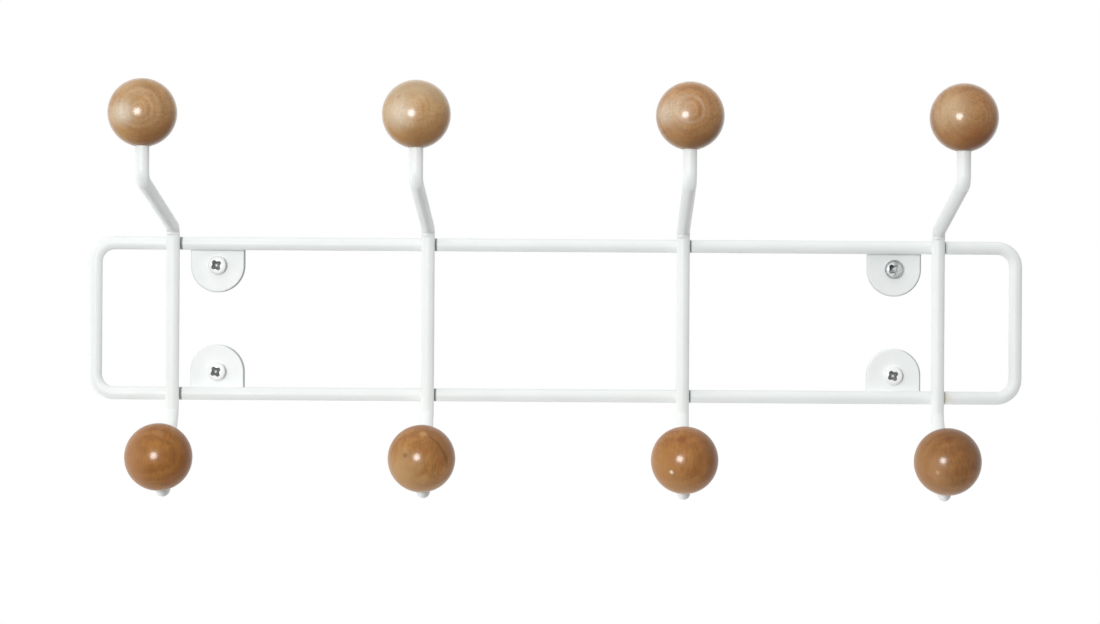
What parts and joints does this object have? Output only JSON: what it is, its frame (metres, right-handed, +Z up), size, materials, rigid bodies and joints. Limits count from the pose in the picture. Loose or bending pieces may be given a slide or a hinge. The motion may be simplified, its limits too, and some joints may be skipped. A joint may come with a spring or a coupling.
{
  "type": "wall coat rack",
  "caption": "Wall-mounted coat rack: a long rounded wire loop crossed by bent hook rods tipped with wooden balls, high and low, held by screwed half-round tabs.",
  "frame": {"origin": "on the wall plane, at the middle of the four wall screws", "axes": "+Z up, +X to the right along the rack as seen from the front, +Y into the wall, so the hooks reach out towards -Y"},
  "size_m": [0.429, 0.1358, 0.1827],
  "materials": {
    "white_rod": "white powder coat, satin",
    "white_tab": "white powder coat, satin",
    "pale_wood": "turned hardwood, clear satin lacquer",
    "brown_wood": "turned hardwood, stained reddish brown, satin lacquer",
    "white_screw": "white enamel on steel",
    "zinc_screw": "bright zinc plate"
  },
  "bodies": {
    "root": {"rail_loop": "white_rod", "hook_rod_1": "white_rod", "upper_ball_1": "pale_wood", "lower_ball_1": "brown_wood", "hook_rod_2": "white_rod", "upper_ball_2": "pale_wood", "lower_ball_2": "brown_wood", "hook_rod_3": "white_rod", "upper_ball_3": "pale_wood", "lower_ball_3": "brown_wood", "hook_rod_4": "white_rod", "upper_ball_4": "pale_wood", "lower_ball_4": "brown_wood", "mounting_tab_upper_left": "white_tab", "mounting_tab_upper_right": "white_tab", "mounting_tab_lower_left": "white_tab", "mounting_tab_lower_right": "white_tab", "wall_screw_upper_left": "white_screw", "wall_screw_upper_right": "zinc_screw", "wall_screw_lower_left": "white_screw", "wall_screw_lower_right": "white_screw"}
  },
  "joints": []
}
